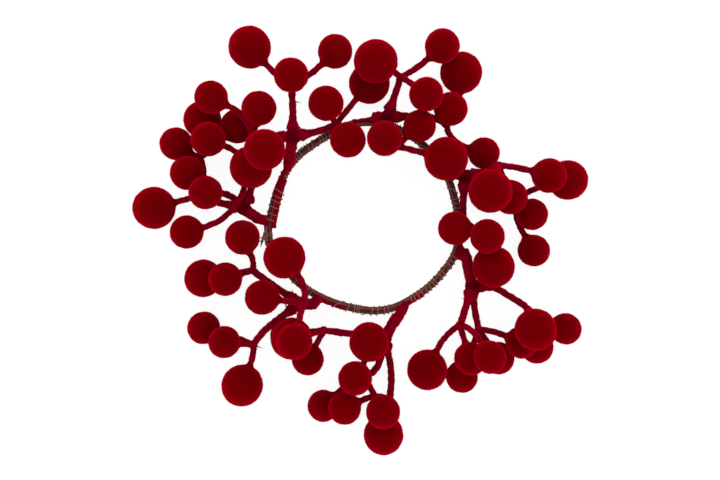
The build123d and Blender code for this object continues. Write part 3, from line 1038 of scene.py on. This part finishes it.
def stored(tree, shape, label, value):
    """Geometry that carries one number at each point from here on."""
    settings = {"data_type": "FLOAT", "domain": "POINT"}
    sockets = {"Geometry": shape, "Name": label, "Value": value}
    return put(tree, "GeometryNodeStoreNamedAttribute", settings, **sockets)[0]


def ring_of(tree, sides, radius):
    """A round outline."""
    return put(tree, "GeometryNodeCurvePrimitiveCircle", Resolution=sides, Radius=radius)[0]


def swept(tree, line, ring):
    """A closed tube: an outline swept along a line."""
    sockets = {"Curve": line, "Profile_Curve": ring, "Fill_Caps": True}
    return put(tree, "GeometryNodeCurveToMesh", **sockets)[0]


def make_strand_tree():
    """A line becomes a paper-wound strand."""
    labels = ("Radius", "Lap Pitch", "Lap Height", "Step")
    tree, given, result = open_growth("paper_strand", *labels)
    line = put(tree, "GeometryNodeMeshToCurve", Mesh=given["Geometry"])[0]
    by_length = {"mode": "LENGTH"}
    even = put(tree, "GeometryNodeResampleCurve", by_length, Curve=line, Length=given["Step"])[0]
    place_on = put(tree, "GeometryNodeSplineParameter")
    line = stored(tree, even, "reach", place_on["Length"])
    ring = stored(tree, ring_of(tree, 14, given["Radius"]), "turn", place_on["Factor"])
    laps = reckon(tree, "DIVIDE", marked(tree, "reach"), given["Lap Pitch"])
    lap = reckon(tree, "FRACT", reckon(tree, "ADD", laps, marked(tree, "turn")))
    # The lap's share also sets the paper's painted shade along the step of each lap.
    tube = stored(tree, swept(tree, line, ring), "lap", lap)
    crease = lumps(tree, crease_scale, detail=2.0, level=0.5, height=crease_height)
    swell = reckon(tree, "MULTIPLY", reckon(tree, "ADD", lap, crease), given["Lap Height"])
    dress(tree, pushed_out(tree, tube, swell), given["Material"], result)
    return tree


# %% The strands
strand_tree = make_strand_tree()
for number, line in strand_lines.items():
    gap = int(np.argmax(np.linalg.norm(np.roll(line, -1, axis=0) - line, axis=1)))
    points = np.roll(line, -gap - 1, axis=0)
    path = line_through(f"strand_{number}_line", points)
    sizes = {
        "Radius": 0.86 * mm,
        "Lap Pitch": (3.1 + 0.3 * number) * mm,
        "Lap Height": 0.12 * mm,
        "Step": 0.4 * mm,
        "Material": wound_paper,
    }
    name = f"hoop_paper_{number}"
    grow(name + "_wound", path, strand_tree, sizes, "brown_paper", name)

# %% Core wires, which stay as the model has them
for number in strands:
    materials = nodes[f"hoop_wire_{number}"].data.materials
    materials.clear()
    materials.append(bare_steel)
print("core wires", len(strands))

# %% [markdown]
# ## Windings
# The binding wire is pulled tight round the bundle by hand. The model has it as a few wide
# turns. Here a tree makes a full winding from the bundle's middle line: round a square of
# four strands it is flat between two strands and bends over each, and noise crowds some
# turns and opens others.


# %% The tree for a hand winding
crowding_scale = 150.0
corners_each_turn = 4.0


def make_winding_tree():
    """The middle line of a bundle becomes a wire wound round it."""
    labels = ("Turns", "Over Flats", "Over Corners", "Wire Radius", "Crowding")
    tree, given, result = open_growth("hand_winding", *labels, counts=["Points"])
    line = put(tree, "GeometryNodeMeshToCurve", Mesh=given["Geometry"])[0]
    line = put(tree, "GeometryNodeResampleCurve", Curve=line, Count=given["Points"])[0]
    went = put(tree, "GeometryNodeSplineParameter")["Factor"]
    crowded = lumps(tree, crowding_scale, detail=1.0, level=0.5, height=given["Crowding"])
    turned = reckon(tree, "MULTIPLY", reckon(tree, "ADD", went, crowded), given["Turns"])
    angle = reckon(tree, "MULTIPLY", turned, 2 * math.pi)
    corner = reckon(tree, "COSINE", reckon(tree, "MULTIPLY", angle, corners_each_turn))
    ends = {"To_Min": given["Over Corners"], "To_Max": given["Over Flats"]}
    reach = put(tree, "ShaderNodeMapRange", Value=corner, From_Min=-1.0, From_Max=1.0, **ends)[0]
    along = put(tree, "GeometryNodeInputTangent")[0]
    out = steer(tree, "NORMALIZE", steer(tree, "CROSS_PRODUCT", along, (0, 0, 1)))
    across = reckon(tree, "MULTIPLY", reckon(tree, "COSINE", angle), reach)
    lift = reckon(tree, "MULTIPLY", reckon(tree, "SINE", angle), reach)
    upward = put(tree, "ShaderNodeCombineXYZ", Z=lift)[0]
    offset = steer(tree, "ADD", steer(tree, "SCALE", out, across), upward)
    wire = swept(tree, moved(tree, line, Offset=offset), ring_of(tree, 10, given["Wire Radius"]))
    dress(tree, wire, given["Material"], result)
    return tree


# %% The windings
winding_tree = make_winding_tree()
winding_pitch = 2.8 * mm
line_points, points_per_turn = 60, 32
wire_radius = 0.24 * mm
# How much further round a winding goes at each end, in radians, and how far it is lifted,
# moved inward and widened. The first winding also takes in the long tail.
plain_winding = (-0.02, 0, 0, 0)
winding_extras = {1: (0.11, 0.6 * mm, 0.85 * mm, 0.6 * mm)}
for number in sprigs:
    name = f"binding_wire_{number}"
    corners = corners_of(name)[0]
    middle = corners.mean(0)
    facing = math.atan2(middle[1], middle[0])
    spread = np.arctan2(corners[:, 1], corners[:, 0]) - facing
    spread = (spread + math.pi) % (2 * math.pi) - math.pi
    more, lift, inward, wider = winding_extras.get(number, plain_winding)
    reach = np.linspace(spread.min() - more, spread.max() + more, line_points)
    points = bundle_middle(facing + reach)
    points = points - outward_of(points) * inward + (0, 0, lift)
    length = np.linalg.norm(np.diff(points, axis=0), axis=1).sum()
    turns = round(length / winding_pitch)
    line = line_through(name + "_line", points)
    sizes = {
        "Turns": float(turns),
        "Points": turns * points_per_turn,
        "Over Flats": 2.08 * mm + wider,
        "Over Corners": 2.42 * mm + wider,
        "Wire Radius": wire_radius,
        "Crowding": 0.4,
        "Material": lacquered_wire,
    }
    grow(name + "_wound", line, winding_tree, sizes, "binding_wire", name)
    print(turns, "turns")

# %% [markdown]
# ## Loose ends
# By the long tail a fan of wire ends was left, and one of them is turned into an eye. They
# are so few that plain rods along a few lines make them.


# %% Loose ends of the first winding
fan_wires, fan_points = 6, 14
fan_start, fan_end = 187, 195.5
fan_gap, fan_apart = 0.4 * mm, 0.85 * mm
fan_lift, fan_fall = 2.3 * mm, 0.3 * mm
eye_beside, eye_off, eye_radius = 8, 1.1 * mm, 1.0 * mm
eye_turn, eye_rise, eye_points = 1.8 * math.pi, 0.2, 18


def loose_ends():
    """A fan of wire ends beside the bundle, and the eye in which one of them ends."""
    share = np.linspace(0, 1, fan_points)[:, None]
    lines = []
    for number in range(fan_wires):
        bearings = np.radians(np.linspace(fan_start, fan_end + number % 3, fan_points))
        middle = bundle_middle(bearings)
        away = fan_gap + share * number * fan_apart
        height = (fan_lift - share * number * fan_fall) * (0, 0, 1)
        lines.append(middle + outward_of(middle) * away + height)
    turns = np.linspace(0, eye_turn, eye_points)
    eye = (lines[-1] + outward_of(lines[-1]) * eye_off)[eye_beside]
    lines.append(eye + np.c_[np.cos(turns), np.sin(turns), eye_rise * turns] * eye_radius)
    points, faces = np.zeros((0, 3)), []
    for line in lines:
        more, triangles = rod(line, [wire_radius] * len(line), sides=8)
        faces += (triangles + len(points)).tolist()
        points = np.r_[points, more]
    mesh = mesh_of("binding_wire_1_ends", points, faces=faces)
    mesh.shade_smooth()
    mesh.materials.append(lacquered_wire)
    keep("binding_wire_1_ends", mesh, "binding_wire")


loose_ends()

# %% [markdown]
# ## Table, backdrop and light
# The ring lies on a white table under a large soft light. The table is white to the
# camera, to glossy surfaces and to glass, and it still takes a faint shadow.


# %% Table
def make_table():
    """A wide white table top that keeps only a faint shadow."""
    half = 1.5
    corners = [(-half, -half, 0), (half, -half, 0), (half, half, 0), (-half, half, 0)]
    table = new_object("table", mesh_of("table", corners, faces=[(0, 1, 2, 3)]))
    material = bpy.data.materials.new("white_table")
    material.use_nodes = True
    tree = material.node_tree
    tree.nodes.clear()
    rays = put(tree, "ShaderNodeLightPath")
    seen = reckon(tree, "MAXIMUM", rays["Is Camera Ray"], rays["Is Glossy Ray"])
    seen = reckon(tree, "MAXIMUM", seen, rays["Is Transmission Ray"])
    own = put(tree, "ShaderNodeBsdfDiffuse", Color=(0.75, 0.75, 0.75, 1))
    faint = put(tree, "ShaderNodeBsdfDiffuse", Color=(0.15, 0.15, 0.15, 1))
    glow = put(tree, "ShaderNodeEmission", Color=(1, 1, 1, 1), Strength=0.91)
    bright = put(tree, "ShaderNodeAddShader", i0=faint[0], i1=glow[0])
    mixed = put(tree, "ShaderNodeMixShader", i0=seen, i1=own[0], i2=bright[0])
    end = tree.nodes.new("ShaderNodeOutputMaterial")
    tree.links.new(mixed[0], end.inputs["Surface"])
    table.data.materials.append(material)


make_table()


# %% Soft lights
def soft_light(name, place, size, power):
    """A square lamp that looks at the middle of the ring."""
    data = bpy.data.lights.new(name, "AREA")
    data.size = size
    data.energy = power
    lamp = new_object(name, data)
    lamp.location = place
    lamp.rotation_mode = "QUATERNION"
    lamp.rotation_quaternion = Vector(place).to_track_quat("Z", "Y")


soft_light("overhead", place=(0.1, 0.25, 0.9), size=0.9, power=2.5)
world = bpy.data.worlds.new("studio")
world.use_nodes = True
background = world.node_tree.nodes["Background"].inputs
background["Color"].default_value = (1, 1, 1, 1)
background["Strength"].default_value = 0.9
scene.world = world
print("lamps", len(bpy.data.lights))
